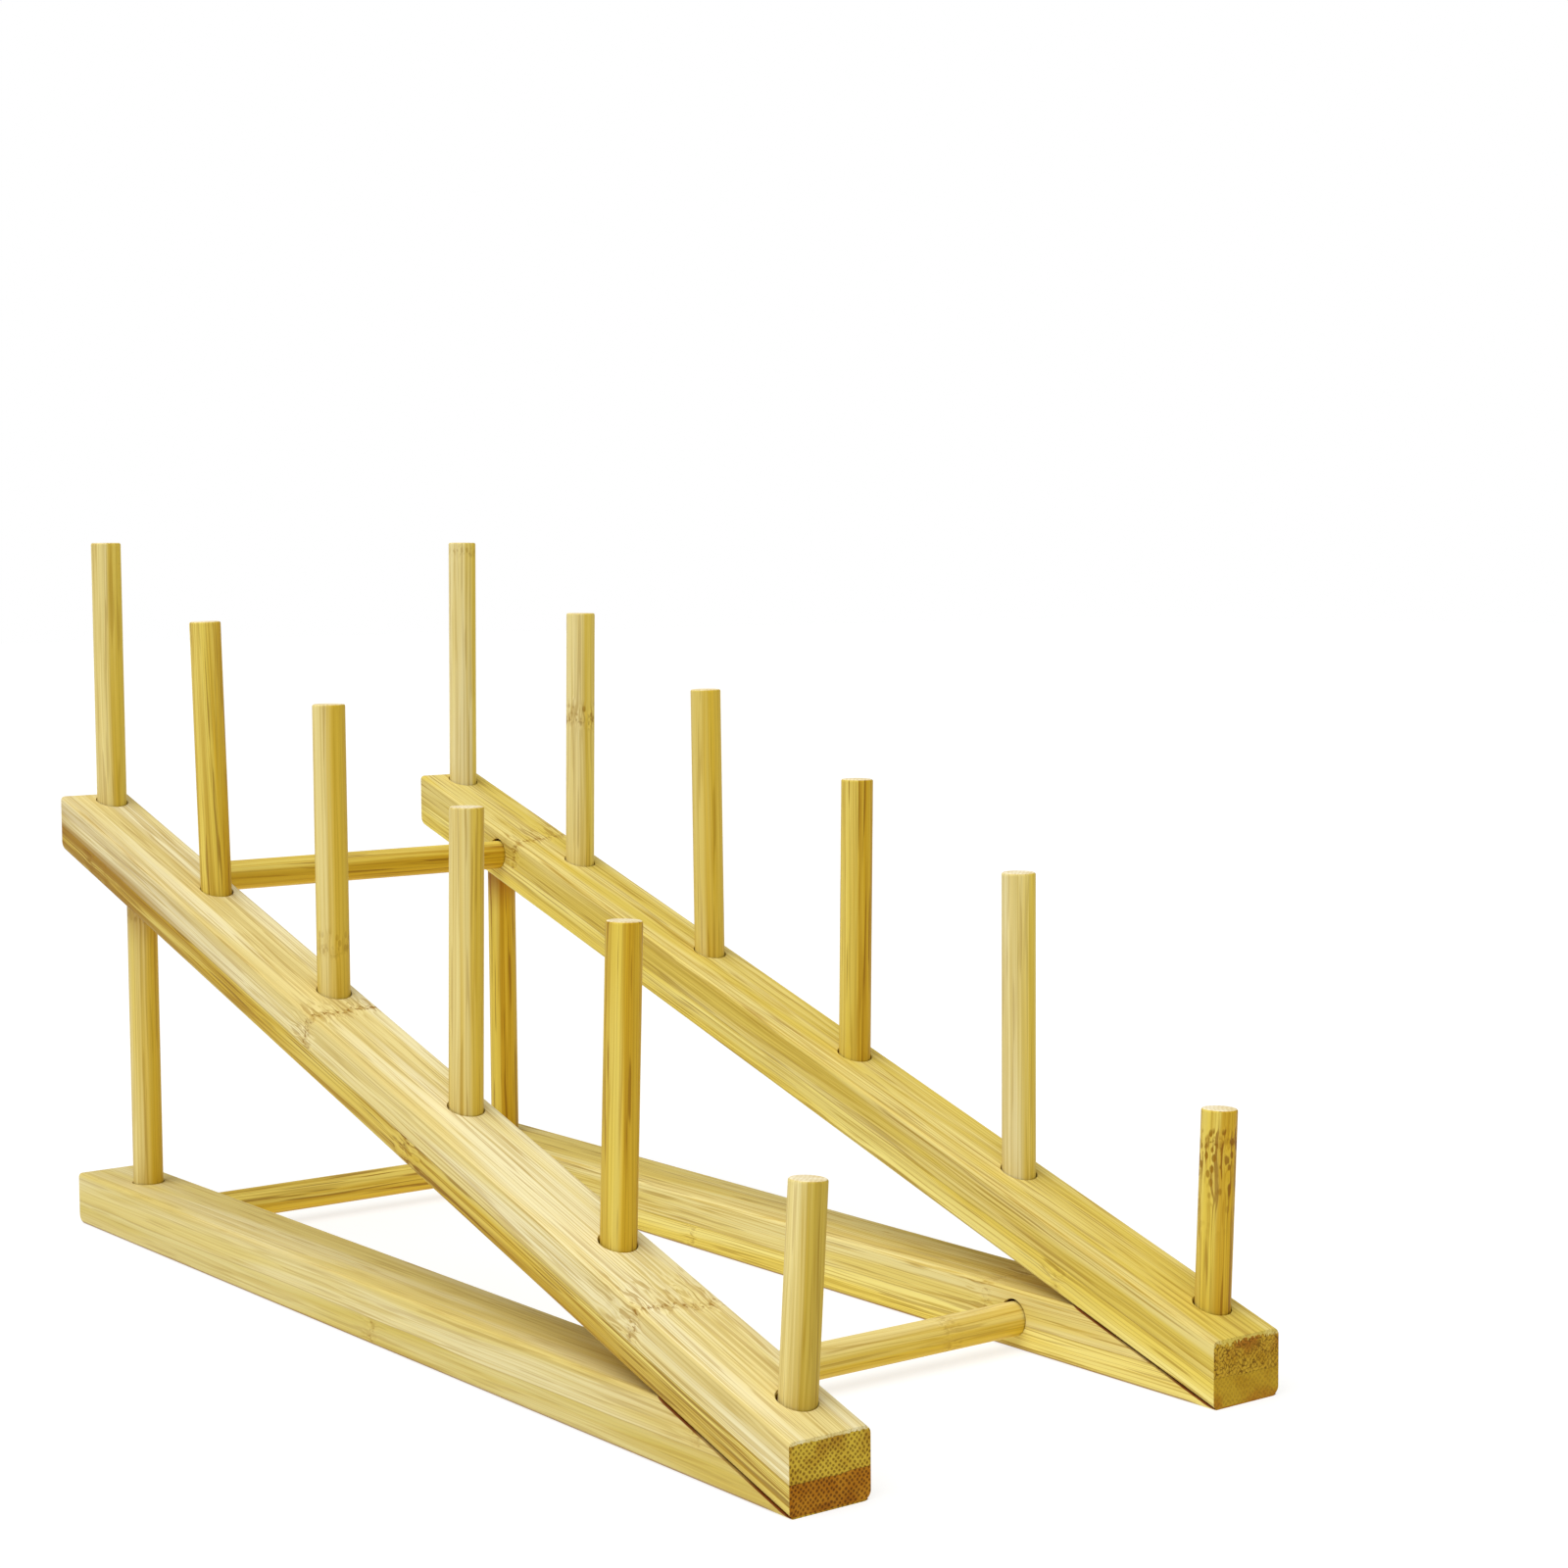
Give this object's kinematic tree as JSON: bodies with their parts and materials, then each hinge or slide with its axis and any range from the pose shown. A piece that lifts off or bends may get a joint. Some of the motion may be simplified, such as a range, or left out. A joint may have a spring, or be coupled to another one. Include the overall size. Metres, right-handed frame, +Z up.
{
  "type": "dish drying rack",
  "caption": "Wedge-shaped bamboo rack that stands plates on edge between round upright pegs on sloping rails, with flat base rails, rear posts and cross dowels.",
  "frame": {"origin": "on the floor, below the centre of the overall box", "axes": "+Y runs along the rails to the high rear end, +X to the right as seen from the low front end, +Z up"},
  "size_m": [0.1344, 0.33, 0.1884],
  "materials": {
    "bamboo_bar": "sanded laminated bamboo, satin clear lacquer",
    "bamboo_dowel": "sanded round bamboo, satin clear lacquer",
    "screw_steel": "zinc plated"
  },
  "bodies": {
    "root": {"sloping_rail_left": "bamboo_bar", "base_rail_left": "bamboo_bar", "peg_left_1": "bamboo_dowel", "peg_left_2": "bamboo_dowel", "peg_left_3": "bamboo_dowel", "peg_left_4": "bamboo_dowel", "peg_left_5": "bamboo_dowel", "peg_left_6": "bamboo_dowel", "rear_post_left": "bamboo_dowel", "scarf_screw_left": "screw_steel", "sloping_rail_right": "bamboo_bar", "base_rail_right": "bamboo_bar", "peg_right_1": "bamboo_dowel", "peg_right_2": "bamboo_dowel", "peg_right_3": "bamboo_dowel", "peg_right_4": "bamboo_dowel", "peg_right_5": "bamboo_dowel", "peg_right_6": "bamboo_dowel", "rear_post_right": "bamboo_dowel", "scarf_screw_right": "screw_steel", "upper_cross_dowel": "bamboo_dowel", "rear_cross_dowel": "bamboo_dowel", "front_cross_dowel": "bamboo_dowel"}
  },
  "joints": []
}
